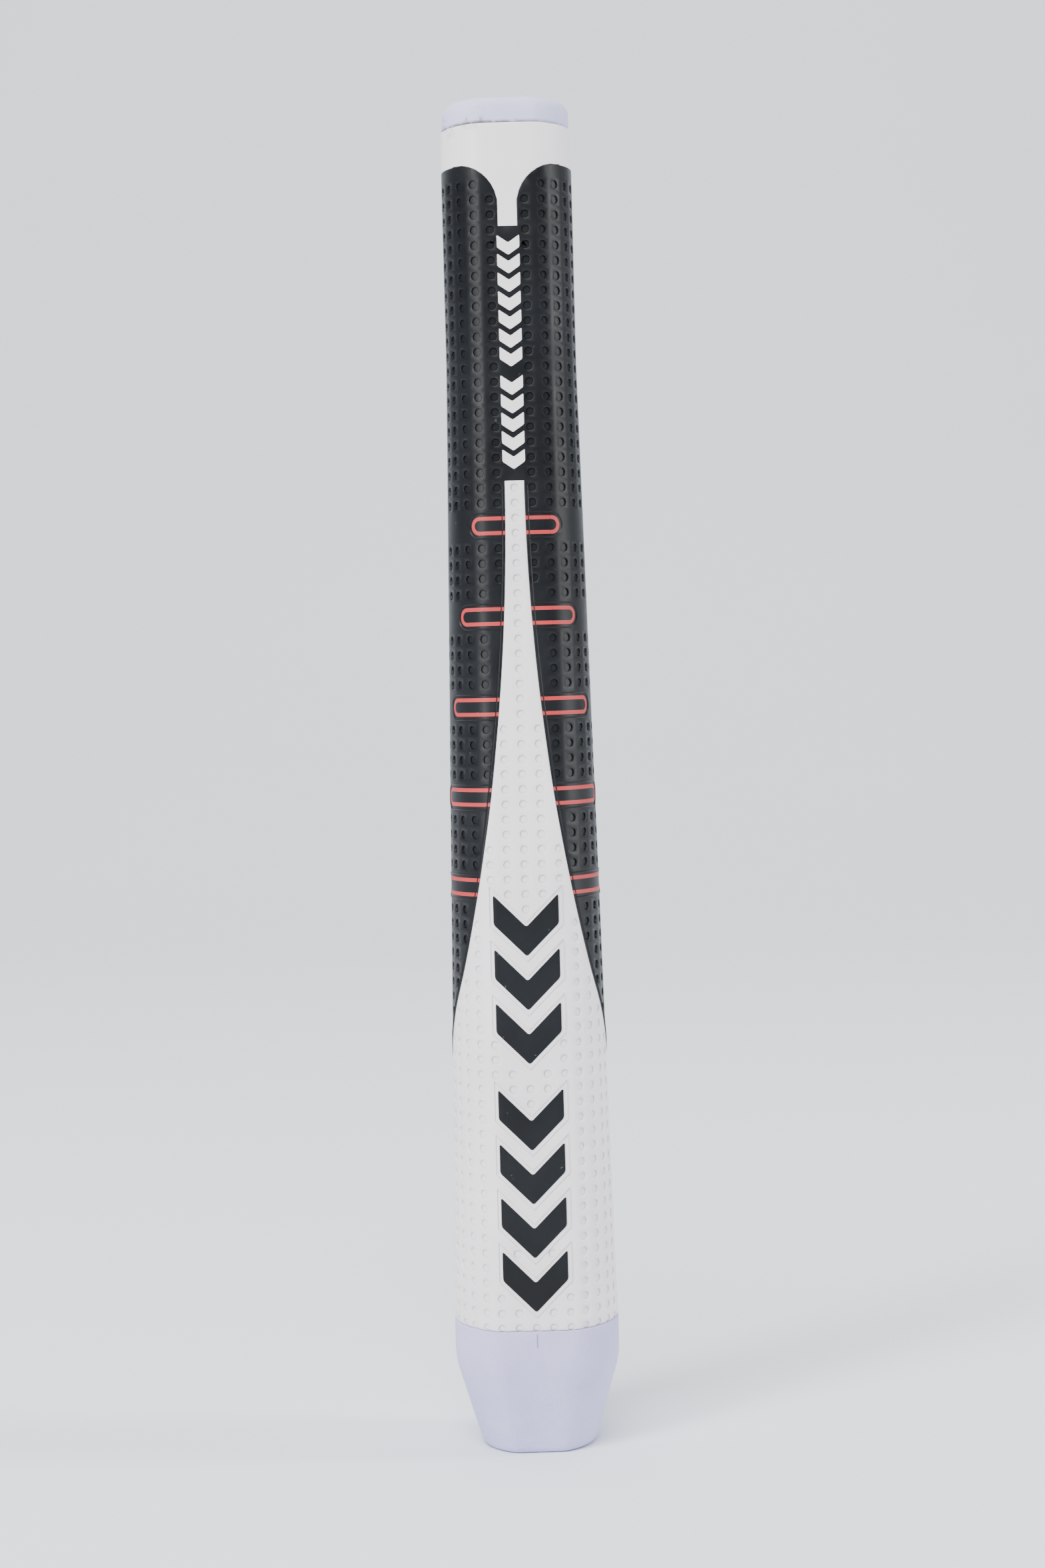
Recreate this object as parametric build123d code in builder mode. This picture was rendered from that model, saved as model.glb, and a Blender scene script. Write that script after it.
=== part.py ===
"""Putter grip with a reverse taper: slim under the upper hand and fuller under the lower hand.

A foam core carries the shaft bore and ends in a bare tapered collar. Three zones of moulded
rubber cover the core, a cap closes the butt end, and coloured marks are inlaid in the rubber.
The origin is the centre of the mouth, +Z runs up the bore to the cap, and the front face is -Y.
"""

import math
import os

from build123d import *

os.makedirs("parts", exist_ok=True)

# Driving dimensions, in millimetres
grip_length = 266.7
collar_length = 25.4
cap_height = 5.3
skin_wall = 1.5
shaft_radius = 7.62

# The outer section is a circle with a flat front, and all its sections are one shape, scaled
top_radius = 12.9
bottom_radius = 16.35
straight_top_length = 46.0
flat_cut_share = 0.11
corner_share = 0.34

# Bare foam collar below the rubber
collar_proud = 0.1
collar_straight = 8.0
mouth_radius = 11.4
collar_shoulder_fillet = 6.0
mouth_fillet = 2.0

# Butt cap: a flange on the end, and a spigot glued into the core
cap_step_in = 0.35
cap_edge_fillet = 2.4
spigot_share = 0.585  # of the way out from the bore to the flat of the core
spigot_length = 6.0
glue_gap = 0.1
vent_radius = 1.25

# White band at the top, with a tongue that runs down between two black shoulders
band_height = 7.9
tongue_half_width = 1.9
tongue_length = 20.0
shoulder_drop = 7.9
shoulder_reach = 10.2

# White wedge on the front: its edges are arcs until two slopes carry them round to the back
wedge_tip_below_cap = 69.3
wedge_foot_reach = 12.01
wedge_foot_above_collar = 64.6
side_above_collar = 53.1
side_slope = 2.05
back_slope = 1.18

# Alignment bars: level outlines with round outer ends that run in to the wedge
inlay_depth = 0.5
bar_count = 5
first_bar_below_tip = 8.7
bar_pitch = 17.64
bar_height = 3.6
bar_line = 0.75
first_bar_half_length = 9.0
bar_length_step = 3.75

# Columns of chevrons, counted in groups from the bottom up
upper_mark_groups = (5, 7)
upper_mark_width = 4.4
upper_mark_thickness = 2.4
upper_mark_rise = 1.5
upper_mark_pitch = 3.6
upper_group_gap = 1.9
upper_marks_above_wedge = 2.2
front_mark_groups = (4, 3)
front_mark_width = 12.8
front_mark_thickness = 5.8
front_mark_rise = 6.4
front_mark_pitch = 10.6
front_group_gap = 6.4
front_marks_above_collar = 3.8

# Worked out from the values above
cap_seam = grip_length - cap_height
core_flat = top_radius * (1 - flat_cut_share) - skin_wall
spigot_radius = shaft_radius + spigot_share * (core_flat - shaft_radius)
taper_end = cap_seam - straight_top_length
bore_length = cap_seam - spigot_length - glue_gap
reach = 2 * bottom_radius
shoulder_height = cap_seam - band_height
tongue_end = cap_seam - tongue_length
wedge_tip = cap_seam - wedge_tip_below_cap
wedge_foot = collar_length + wedge_foot_above_collar
wedge_rise = wedge_tip - wedge_foot
wedge_edge_radius = (wedge_rise**2 + wedge_foot_reach**2) / (2 * wedge_foot_reach)
side_height = collar_length + side_above_collar
upper_marks_low = wedge_tip + upper_marks_above_wedge
front_marks_low = collar_length + front_marks_above_collar


def section_radius(height):
    """Radius of the rubber's outer section, which tapers up to the straight top length."""
    if height >= taper_end:
        return top_radius
    share = (height - collar_length) / (taper_end - collar_length)
    return bottom_radius + share * (top_radius - bottom_radius)


def corner_centre(radius):
    """Centre of the arc that joins the flat front to the circle."""
    drop = radius * (1 - flat_cut_share - corner_share)
    return math.sqrt((radius * (1 - corner_share)) ** 2 - drop**2), drop


def angle_at(height, along):
    """Angle in degrees, seen from the axis, of a point so far round from the middle of the front."""
    radius = section_radius(height)
    across, drop = corner_centre(radius)
    corner = radius * corner_share
    turn = math.atan2(across, drop)
    if along < across:
        return math.degrees(math.atan2(along, drop + corner))
    if along < across + corner * turn:
        bend = (along - across) / corner
        across += corner * math.sin(bend)
        return math.degrees(math.atan2(across, drop + corner * math.cos(bend)))
    return math.degrees(turn + (along - across - corner * turn) / radius)


def grip_section(height, radius, inset=0.0):
    """The section's outline on a level plane, made smaller all round by the inset."""
    across, drop = corner_centre(radius)
    corner = radius * corner_share - inset
    turn = math.degrees(math.atan2(across, drop))
    with BuildSketch(Plane.XY.offset(height)) as section:
        with BuildLine():
            Line((-across, -drop - corner), (across, -drop - corner))
            CenterArc((across, -drop), corner, -90, turn)
            CenterArc((0, 0), radius - inset, turn - 90, 360 - 2 * turn)
            CenterArc((-across, -drop), corner, -90 - turn, turn)
        make_face()
    return section.sketch


def grip_body(inset):
    """The rubber-covered length of the grip as one solid, made smaller all round by the inset."""
    with BuildPart() as body:
        add(grip_section(collar_length, bottom_radius, inset))
        add(grip_section(taper_end, top_radius, inset))
        add(grip_section(cap_seam, top_radius, inset))
        loft(ruled=True)
    return body.part


def bar_space(height, half_angle, half_height):
    """The space of one alignment bar: a level band with a round end on each side."""
    with BuildPart() as space:
        with BuildSketch(Plane.XY.offset(height - half_height)):
            with BuildLine():
                rim = CenterArc((0, 0), reach, -90 - half_angle, 2 * half_angle)
                Line((0, 0), rim @ 0)
                Line(rim @ 1, (0, 0))
            make_face()
        extrude(amount=2 * half_height)
        for side in (-1, 1):
            turn = math.radians(side * half_angle)
            out = (math.sin(turn), -math.cos(turn), 0)
            with BuildSketch(Plane(origin=(0, 0, height), x_dir=(0, 0, 1), z_dir=out)):
                Circle(half_height)
            extrude(amount=reach)
    return space.part


def chevron_column(lowest, pitch, groups, gap, width, thickness, rise):
    """Chevrons one above the other on the front, as prisms that run forward from the axis."""
    half = width / 2
    points = [(0, 0), (half, rise), (half, rise + thickness), (0, thickness)]
    points += [(-half, rise + thickness), (-half, rise)]
    places = []
    height = lowest
    for count in groups:
        places += [(0, height + pitch * step) for step in range(count)]
        height += pitch * count + gap
    with BuildPart() as prisms:
        with BuildSketch(Plane.XZ):
            with Locations(*places):
                Polygon(*points, align=None)
        extrude(amount=reach)
    return prisms.part


# Bodies that the rubber zones and the inlays are cut from
core_body = grip_body(skin_wall)

with BuildPart() as sleeve:
    add(grip_body(0))
    add(core_body, mode=Mode.SUBTRACT)

with BuildPart() as inlay_layer:
    add(grip_body(0))
    add(grip_body(inlay_depth), mode=Mode.SUBTRACT)

# Space of the top band and its tongue, whose sides open out in quarter ellipses
with BuildPart() as band_space:
    with BuildSketch(Plane.XY.offset(shoulder_height)):
        Circle(reach)
    extrude(amount=band_height)
    with BuildSketch(Plane.XZ):
        with BuildLine():
            flare_start = shoulder_height - shoulder_drop
            flare = shoulder_reach - tongue_half_width
            foot = Line((0, tongue_end), (tongue_half_width, tongue_end))
            Line(foot @ 1, (tongue_half_width, flare_start))
            EllipticalCenterArc((shoulder_reach, flare_start), flare, shoulder_drop, 180, arc_size=-90)
            Line((shoulder_reach, shoulder_height), (0, shoulder_height))
            mirror(about=Plane.YZ)
        make_face()
    extrude(amount=reach)

# Space of the wedge: two arcs seen from the front, and two slopes seen from the side
with BuildPart() as wedge_space:
    with BuildSketch(Plane.XZ):
        with BuildLine():
            edge_turn = math.degrees(math.asin(wedge_rise / wedge_edge_radius))
            edge_centre = (tongue_half_width + wedge_edge_radius, wedge_tip)
            edge = CenterArc(edge_centre, wedge_edge_radius, 180, edge_turn)
            Line((0, wedge_tip), edge @ 0)
            Line(edge @ 1, (0, wedge_foot))
            mirror(about=Plane.YZ)
        make_face()
    extrude(amount=reach)
    with BuildSketch(Plane.YZ):
        Polygon(
            (0, side_height),
            (-reach, side_height + reach * side_slope),
            (-reach, 0),
            (reach, 0),
            (reach, side_height - reach * back_slope),
            align=None,
        )
    extrude(amount=reach, both=True)

# Inlays in the outer layer of the rubber
bars = {}
for number in range(bar_count):
    height = wedge_tip - first_bar_below_tip - bar_pitch * number
    half_length = first_bar_half_length + bar_length_step * number - bar_height / 2
    half_angle = angle_at(height, half_length)
    with BuildPart() as alignment_bar:
        add(inlay_layer.part)
        add(bar_space(height, half_angle, bar_height / 2), mode=Mode.INTERSECT)
        add(bar_space(height, half_angle, bar_height / 2 - bar_line), mode=Mode.SUBTRACT)
        add(wedge_space.part, mode=Mode.SUBTRACT)
    bars[f"alignment_bar_{number + 1}"] = alignment_bar.part

with BuildPart() as upper_marks:
    add(
        chevron_column(
            upper_marks_low,
            upper_mark_pitch,
            upper_mark_groups,
            upper_group_gap,
            upper_mark_width,
            upper_mark_thickness,
            upper_mark_rise,
        )
    )
    add(inlay_layer.part, mode=Mode.INTERSECT)

with BuildPart() as front_marks:
    add(
        chevron_column(
            front_marks_low,
            front_mark_pitch,
            front_mark_groups,
            front_group_gap,
            front_mark_width,
            front_mark_thickness,
            front_mark_rise,
        )
    )
    add(inlay_layer.part, mode=Mode.INTERSECT)

# Foam core with the shaft bore and the bare collar
with BuildPart() as foam_core:
    collar_radius = bottom_radius + collar_proud
    shoulder = collar_length - collar_straight
    add(grip_section(0, mouth_radius))
    add(grip_section(shoulder, collar_radius))
    add(grip_section(collar_length, collar_radius))
    loft(ruled=True)
    shoulder_edges = foam_core.edges().filter_by(lambda edge: abs(edge.center().Z - shoulder) < 0.01)
    fillet(shoulder_edges, collar_shoulder_fillet)
    fillet(foam_core.edges().group_by(Axis.Z)[0], mouth_fillet)
    add(core_body)
    with BuildSketch(Plane.XY):
        Circle(shaft_radius)
    extrude(amount=cap_seam, mode=Mode.SUBTRACT)
    with BuildSketch(Plane.XY.offset(bore_length)):
        Circle(spigot_radius + glue_gap)
    extrude(amount=cap_seam - bore_length, mode=Mode.SUBTRACT)

# Butt cap with its spigot and vent hole
with BuildPart() as butt_cap:
    add(grip_section(cap_seam, top_radius, cap_step_in))
    extrude(amount=cap_height)
    fillet(butt_cap.edges().group_by(Axis.Z)[-1], cap_edge_fillet)
    with BuildSketch(Plane.XY.offset(cap_seam - spigot_length)):
        Circle(spigot_radius)
    extrude(amount=spigot_length)
    with BuildSketch(Plane.XY.offset(cap_seam - spigot_length)):
        Circle(vent_radius)
    extrude(amount=spigot_length + cap_height, mode=Mode.SUBTRACT)

# White rubber at the top, with its tongue
with BuildPart() as top_band:
    add(sleeve.part)
    add(band_space.part, mode=Mode.INTERSECT)

# Black rubber round the back and sides
with BuildPart() as black_panel:
    add(sleeve.part)
    add(band_space.part, mode=Mode.SUBTRACT)
    add(wedge_space.part, mode=Mode.SUBTRACT)
    add(upper_marks.part, mode=Mode.SUBTRACT)
    for bar in bars.values():
        add(bar, mode=Mode.SUBTRACT)

# White rubber wedge on the front, which spreads round the whole lower end
with BuildPart() as front_panel:
    add(sleeve.part)
    add(wedge_space.part, mode=Mode.INTERSECT)
    add(front_marks.part, mode=Mode.SUBTRACT)

finished = {
    "foam_core": foam_core.part,
    "butt_cap": butt_cap.part,
    "top_band": top_band.part,
    "black_panel": black_panel.part,
    "front_panel": front_panel.part,
    "upper_marks": upper_marks.part,
    "front_marks": front_marks.part,
    **bars,
}
for name, piece in finished.items():
    piece.label = name
    export_step(piece, f"parts/{name}.step")
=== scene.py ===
import bpy
import bmesh
import math
from mathutils import Matrix, Vector


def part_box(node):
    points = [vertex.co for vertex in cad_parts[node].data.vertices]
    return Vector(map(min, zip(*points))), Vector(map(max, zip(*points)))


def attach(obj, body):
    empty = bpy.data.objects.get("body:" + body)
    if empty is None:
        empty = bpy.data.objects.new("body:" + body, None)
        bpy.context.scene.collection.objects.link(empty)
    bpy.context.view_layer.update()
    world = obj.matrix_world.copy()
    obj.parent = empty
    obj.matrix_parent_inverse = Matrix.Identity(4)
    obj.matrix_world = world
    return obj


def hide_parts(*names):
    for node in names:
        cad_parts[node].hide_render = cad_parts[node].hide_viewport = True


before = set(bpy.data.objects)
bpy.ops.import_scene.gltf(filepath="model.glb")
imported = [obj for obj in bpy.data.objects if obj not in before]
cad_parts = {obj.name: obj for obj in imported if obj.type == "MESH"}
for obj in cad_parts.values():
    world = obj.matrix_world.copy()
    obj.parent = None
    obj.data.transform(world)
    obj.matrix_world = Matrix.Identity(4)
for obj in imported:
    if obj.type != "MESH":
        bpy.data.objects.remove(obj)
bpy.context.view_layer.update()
mm = 0.001
print("frame loaded")

# heights and radii in mm, read from the frame
levels = {
    "butt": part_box("butt_cap")[1].z / mm,
    "capSeam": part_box("top_band")[1].z / mm,
    "shoulder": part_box("black_panel")[1].z / mm,
    "tongueEnd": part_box("top_band")[0].z / mm,
    "wedgeTip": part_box("front_panel")[1].z / mm,
    "collar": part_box("front_panel")[0].z / mm,
    "spigot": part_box("butt_cap")[0].z / mm,
}
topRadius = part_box("top_band")[1].x / mm
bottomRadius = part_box("front_panel")[1].x / mm
section = {
    "flatCut": 0.11,  # the flat and its corners are shares of the radius
    "corner": 0.34,
    "taperEnd": levels["capSeam"] - 46.0,
}


def radiusAt(z):
    # the skin's radius at a height
    share = (z - levels["collar"]) / (section["taperEnd"] - levels["collar"])
    return bottomRadius + min(max(share, 0.0), 1.0) * (topRadius - bottomRadius)


def outline(radius):
    # the flat's half-width, the corner's centre and radius, and how far the corner turns
    drop = radius * (1 - section["flatCut"] - section["corner"])
    across = math.sqrt((radius * (1 - section["corner"])) ** 2 - drop**2)
    return across, drop, radius * section["corner"], math.atan2(across, drop)


def halfGirth(radius):
    across, drop, corner, turn = outline(radius)
    return across + corner * turn + radius * (math.pi - turn)


def wrap(u, z, out, radius):
    # a point u mm round from the middle of the front, and out mm off the surface
    across, drop, corner, turn = outline(radius)
    side = -1 if u < 0 else 1
    along = abs(u)
    if along < across:
        return Vector((side * along, -drop - corner - out, z)) * mm
    if along < across + corner * turn:
        bend = (along - across) / corner
        reach = corner + out
        return Vector((side * (across + reach * math.sin(bend)), -drop - reach * math.cos(bend), z)) * mm
    angle = turn + (along - across - corner * turn) / radius
    return Vector((side * (radius + out) * math.sin(angle), -(radius + out) * math.cos(angle), z)) * mm


def alongOf(x, y, radius):
    # how far round from the middle of the front a point of the surface lies
    across, drop, corner, turn = outline(radius)
    if x < across and y < 0:
        return x
    angle = math.atan2(x, -y)
    if angle < turn:
        return across + corner * math.atan2(x - across, -y - drop)
    return across + corner * turn + radius * (angle - turn)


# where the white rubber meets the black
zones = {
    "tongueHalf": 1.9,
    "flareRise": 7.9,      # the tongue opens out in quarter ellipses
    "flareReach": 10.2,
    "edgeRadius": 440.0,   # the wedge's edge, seen from the front
    "sideHeight": levels["collar"] + 53.1,
    "frontSlope": 2.05,    # the edge's slopes, seen from the side
    "backSlope": 1.18,
    "slopeBlend": 3.0,
    "foot": levels["collar"] + 64.6,
    "smoothing": 3.0,
}


def slopeHeight(y):
    steep = (zones["frontSlope"] + zones["backSlope"]) / 2
    ease = (zones["frontSlope"] - zones["backSlope"]) / 2
    blend = zones["slopeBlend"]
    return zones["sideHeight"] - steep * y + ease * (math.hypot(y, blend) - blend / 2)


def plainEdge(z):
    radius = radiusAt(z)
    if slopeHeight(radius) > z:
        return halfGirth(radius)
    low, high = 0.0, math.pi
    for step in range(30):
        angle = (low + high) / 2
        if slopeHeight(-radius * math.cos(angle)) > z:
            low = angle
        else:
            high = angle
    fromSide = alongOf(radius * math.sin(low), -radius * math.cos(low), radius)
    if z < zones["foot"]:
        return fromSide
    fall = max(levels["wedgeTip"] - z, 0)
    x = zones["tongueHalf"] + zones["edgeRadius"] - math.sqrt(zones["edgeRadius"] ** 2 - fall**2)
    return max(alongOf(x, -math.sqrt(radius**2 - x**2), radius), fromSide)


def wedgeEdge(z):
    # half-width of the white wedge, measured round the surface
    if z >= levels["wedgeTip"]:
        return zones["tongueHalf"]
    spread = min(zones["smoothing"], max(z - slopeHeight(radiusAt(z)), 0), levels["wedgeTip"] - z)
    return sum(plainEdge(z + spread * share / 3) for share in range(-3, 4)) / 7


def bandEdge(z):
    # half-width of the white tongue, up to the shoulders
    rise = z - (levels["shoulder"] - zones["flareRise"])
    if rise <= 0:
        return zones["tongueHalf"]
    flare = zones["flareReach"] - zones["tongueHalf"]
    return zones["flareReach"] - flare * math.sqrt(max(1 - (rise / zones["flareRise"]) ** 2, 0.0))


def zoneOf(u, z):
    if z > levels["shoulder"] or (z > levels["tongueEnd"] and abs(u) < bandEdge(z)):
        return "band"
    if z < levels["wedgeTip"] and abs(u) < wedgeEdge(z):
        return "front"
    return "black"


def extrudeChain(bm, edges):
    # extrudes a chain of edges in place, and gives the new edges and corners
    made = bmesh.ops.extrude_edge_only(bm, edges=edges)["geom"]
    verts = [item for item in made if isinstance(item, bmesh.types.BMVert)]
    fresh = set(verts)
    chain = [item for item in made if isinstance(item, bmesh.types.BMEdge) and fresh.issuperset(item.verts)]
    return chain, verts


def linkMesh(name, bm, material):
    mesh = bpy.data.meshes.new(name)
    bm.to_mesh(mesh)
    bm.free()
    for polygon in mesh.polygons:
        polygon.use_smooth = True
    mesh.materials.append(material)
    made = bpy.data.objects.new(name, mesh)
    bpy.context.scene.collection.objects.link(made)
    return made


def finishPiece(name, bm, material, replaced):
    # turns a mesh into a piece of the grip
    bmesh.ops.remove_doubles(bm, verts=bm.verts, dist=2e-6)
    bmesh.ops.recalc_face_normals(bm, faces=bm.faces)
    piece = linkMesh(name, bm, material)
    piece.data.set_sharp_from_angle(angle=math.radians(38))  # hard corners stay crisp
    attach(piece, "root")
    if replaced:
        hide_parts(*replaced)
    print(name, len(piece.data.polygons), "faces")


def wrapMesh(bm, lift=None):
    # x, y and z of a flat sheet become round the grip, up it and out from it
    for vert in bm.verts:
        u, z, out = vert.co
        if lift:
            out = lift(z, out)
        vert.co = wrap(u, z, out, radiusAt(z))


def cutLine(bm, start, end, margin=0.3):
    # cuts a flat sheet along a line, only in the faces that lie beside it
    lowU, highU = min(start[0], end[0]) - margin, max(start[0], end[0]) + margin
    lowZ, highZ = min(start[1], end[1]), max(start[1], end[1])
    near = []
    for face in bm.faces:
        us = [vert.co.x for vert in face.verts]
        zs = [vert.co.y for vert in face.verts]
        if max(us) > lowU and min(us) < highU and max(zs) > lowZ + 1e-4 and min(zs) < highZ - 1e-4:
            near.append(face)
    edges = list({edge for face in near for edge in face.edges})
    verts = list({vert for face in near for vert in face.verts})
    across = Vector((end[1] - start[1], start[0] - end[0], 0))
    geom = verts + edges + near
    bmesh.ops.bisect_plane(bm, geom=geom, dist=1e-4, plane_co=(*start, 0), plane_no=across)


def cutLevel(bm, z, left, right):
    # cuts a flat sheet level between two sides
    near = []
    for face in bm.faces:
        zs = [vert.co.y for vert in face.verts]
        if left < face.calc_center_median().x < right and min(zs) < z < max(zs):
            near.append(face)
    edges = list({edge for face in near for edge in face.edges})
    verts = list({vert for face in near for vert in face.verts})
    geom = verts + edges + near
    bmesh.ops.bisect_plane(bm, geom=geom, dist=1e-4, plane_co=(0, z, 0), plane_no=(0, 1, 0))


def thicken(bm, depth):
    # closes an open flat sheet into a slab that lies below it
    copied = bmesh.ops.extrude_face_region(bm, geom=bm.faces[:], use_keep_orig=True)["geom"]
    below = [item for item in copied if isinstance(item, bmesh.types.BMVert)]
    bmesh.ops.translate(bm, verts=below, vec=(0, 0, -depth))
    bmesh.ops.recalc_face_normals(bm, faces=bm.faces)


def noiseNode(tree, scale, detail, rough=0.5):
    coords = tree.nodes.new("ShaderNodeTexCoord")
    noise = tree.nodes.new("ShaderNodeTexNoise")
    noise.inputs["Scale"].default_value = scale
    noise.inputs["Detail"].default_value = detail
    noise.inputs["Roughness"].default_value = rough
    tree.links.new(coords.outputs["Object"], noise.inputs["Vector"])
    return noise


def rampNode(tree, value, stops):
    ramp = tree.nodes.new("ShaderNodeValToRGB")
    for element, (place, colour) in zip(ramp.color_ramp.elements, stops):
        element.position = place
        element.color = (*colour, 1)
    tree.links.new(value, ramp.inputs["Fac"])
    return ramp


def bumpNode(tree, height, strength, distance, below=None):
    bump = tree.nodes.new("ShaderNodeBump")
    bump.inputs["Strength"].default_value = strength
    bump.inputs["Distance"].default_value = distance
    tree.links.new(height, bump.inputs["Height"])
    if below:
        tree.links.new(below.outputs["Normal"], bump.inputs["Normal"])
    return bump


def bandMask(tree, axis, start, end):
    # 0 to 1 as a coordinate (in mm) goes from start to end
    coords = tree.nodes.new("ShaderNodeTexCoord")
    split = tree.nodes.new("ShaderNodeSeparateXYZ")
    tree.links.new(coords.outputs["Object"], split.inputs["Vector"])
    reach = tree.nodes.new("ShaderNodeMapRange")
    reach.interpolation_type = "SMOOTHSTEP"
    reach.inputs["From Min"].default_value = start * mm
    reach.inputs["From Max"].default_value = end * mm
    tree.links.new(split.outputs[axis], reach.inputs["Value"])
    return reach.outputs["Result"]


def multiply(tree, *values):
    result = values[0]
    for value in values[1:]:
        node = tree.nodes.new("ShaderNodeMath")
        node.operation = "MULTIPLY"
        tree.links.new(result, node.inputs[0])
        if isinstance(value, float):
            node.inputs[1].default_value = value
        else:
            tree.links.new(value, node.inputs[1])
        result = node.outputs["Value"]
    return result


def stain(tree, shader, mask, colour):
    # mixes a darker or lighter colour over the base colour
    under = shader.inputs["Base Color"].links[0].from_socket
    mix = tree.nodes.new("ShaderNodeMix")
    mix.data_type = "RGBA"
    tree.links.new(mask, mix.inputs["Factor"])
    tree.links.new(under, mix.inputs["A"])
    mix.inputs["B"].default_value = (*colour, 1)
    tree.links.new(mix.outputs["Result"], shader.inputs["Base Color"])


def newMaterial(name):
    material = bpy.data.materials.new(name)
    material.use_nodes = True
    tree = material.node_tree
    return material, tree, tree.nodes["Principled BSDF"]


rubber = {
    "grain": 1500.0, "grainBump": 0.16, "grainHeight": 0.00006,
    "mottle": 38.0,
    "blackDark": (0.0035, 0.0040, 0.0052),
    "blackLight": (0.0085, 0.0095, 0.0115),
    "blackRough": (0.36, 0.46),
    "whiteDark": (0.82, 0.78, 0.80),
    "whiteLight": (0.90, 0.86, 0.88),
    "whiteRough": (0.42, 0.52),
    "redDark": (0.40, 0.030, 0.032),
    "redLight": (0.52, 0.045, 0.045),
    "redRough": (0.45, 0.55),
    "dust": (0.20, 0.21, 0.22), "dustScale": 820.0,
    "dirt": (0.22, 0.17, 0.15), "dirtScale": 260.0,
}


def rubberMaterial(name, dark, light, rough, shine):
    material, tree, shader = newMaterial(name)
    mottle = noiseNode(tree, rubber["mottle"], 6, 0.6)
    colour = rampNode(tree, mottle.outputs["Fac"], [(0.35, dark), (0.65, light)])
    tree.links.new(colour.outputs["Color"], shader.inputs["Base Color"])
    smear = noiseNode(tree, rubber["mottle"] * 5, 4)
    roughness = rampNode(tree, smear.outputs["Fac"], [(0.3, (rough[0],) * 3), (0.7, (rough[1],) * 3)])
    tree.links.new(roughness.outputs["Color"], shader.inputs["Roughness"])
    grain = noiseNode(tree, rubber["grain"], 3, 0.6)
    bump = bumpNode(tree, grain.outputs["Fac"], rubber["grainBump"], rubber["grainHeight"])
    tree.links.new(bump.outputs["Normal"], shader.inputs["Normal"])
    shader.inputs["Specular IOR Level"].default_value = shine
    return material, tree, shader


def addDust(tree, shader):
    # sparse pale specks
    specks = noiseNode(tree, rubber["dustScale"], 2)
    fine = rampNode(tree, specks.outputs["Fac"], [(0.735, (0, 0, 0)), (0.78, (1, 1, 1))])
    patch = noiseNode(tree, 55, 3)
    where = rampNode(tree, patch.outputs["Fac"], [(0.45, (0, 0, 0)), (0.65, (1, 1, 1))])
    stain(tree, shader, multiply(tree, fine.outputs["Color"], where.outputs["Color"], 0.8), rubber["dust"])


def addRecessShade(tree, shader, amount, colour):
    # painted shade: the foot of each dimple's wall, and of each halo line, is darkened in the base colour
    # as if shade fell there
    recessShade = tree.nodes.new("ShaderNodeAttribute")
    recessShade.attribute_name = "recessShade"
    stain(tree, shader, multiply(tree, recessShade.outputs["Fac"], amount), colour)


def addSmudges(tree, shader):
    # faint handling marks under the cap, more of them on the left
    smudge = noiseNode(tree, rubber["dirtScale"], 5, 0.6)
    spots = rampNode(tree, smudge.outputs["Fac"], [(0.50, (0, 0, 0)), (0.66, (1, 1, 1))])
    near = bandMask(tree, "Z", levels["capSeam"] - 3.2, levels["capSeam"] + 0.2)
    left = bandMask(tree, "X", 9, -9)
    stain(tree, shader, multiply(tree, spots.outputs["Color"], near, left, 0.5), rubber["dirt"])


foam = {
    "capDark": (0.50, 0.495, 0.72), "capLight": (0.60, 0.595, 0.82),
    "collarDark": (0.49, 0.47, 0.73), "collarLight": (0.56, 0.54, 0.80),
    "cells": 1000.0, "cellBump": 0.7, "cellHeight": 0.0002,
    "lumps": 240.0, "lumpBump": 0.4, "lumpHeight": 0.0005,
    "dirt": (0.10, 0.085, 0.085), "dirtScale": 420.0, "seamLine": 0.8,
    "nickWidth": 0.14, "nickLow": 22.0, "nickHigh": 25.0,
}


def foamMaterial(name, dark, light):
    material, tree, shader = newMaterial(name)
    mottle = noiseNode(tree, 60, 5, 0.6)
    colour = rampNode(tree, mottle.outputs["Fac"], [(0.35, dark), (0.65, light)])
    tree.links.new(colour.outputs["Color"], shader.inputs["Base Color"])
    cells = noiseNode(tree, foam["cells"], 3, 0.6)
    lumps = noiseNode(tree, foam["lumps"], 3)
    low = bumpNode(tree, lumps.outputs["Fac"], foam["lumpBump"], foam["lumpHeight"])
    high = bumpNode(tree, cells.outputs["Fac"], foam["cellBump"], foam["cellHeight"], low)
    tree.links.new(high.outputs["Normal"], shader.inputs["Normal"])
    shader.inputs["Roughness"].default_value = 0.75
    shader.inputs["Specular IOR Level"].default_value = 0.35
    return material, tree, shader, high


def addSeamDirt(tree, shader):
    # a dark line along the cap's seam, and specks above it on the left
    ragged = noiseNode(tree, foam["dirtScale"], 4, 0.6)
    line = rampNode(tree, ragged.outputs["Fac"], [(0.32, (0, 0, 0)), (0.52, (1, 1, 1))])
    seam = bandMask(tree, "Z", levels["capSeam"] + foam["seamLine"], levels["capSeam"] + 0.1)
    lineLeft = bandMask(tree, "X", 22, -6)
    stain(tree, shader, multiply(tree, line.outputs["Color"], seam, lineLeft, 0.85), foam["dirt"])
    specks = rampNode(tree, ragged.outputs["Fac"], [(0.57, (0, 0, 0)), (0.66, (1, 1, 1))])
    low = bandMask(tree, "Z", levels["capSeam"] + 3.4, levels["capSeam"] + 0.4)
    specksLeft = bandMask(tree, "X", 4, -6)
    stain(tree, shader, multiply(tree, specks.outputs["Color"], low, specksLeft, 0.6), foam["dirt"])


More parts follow.
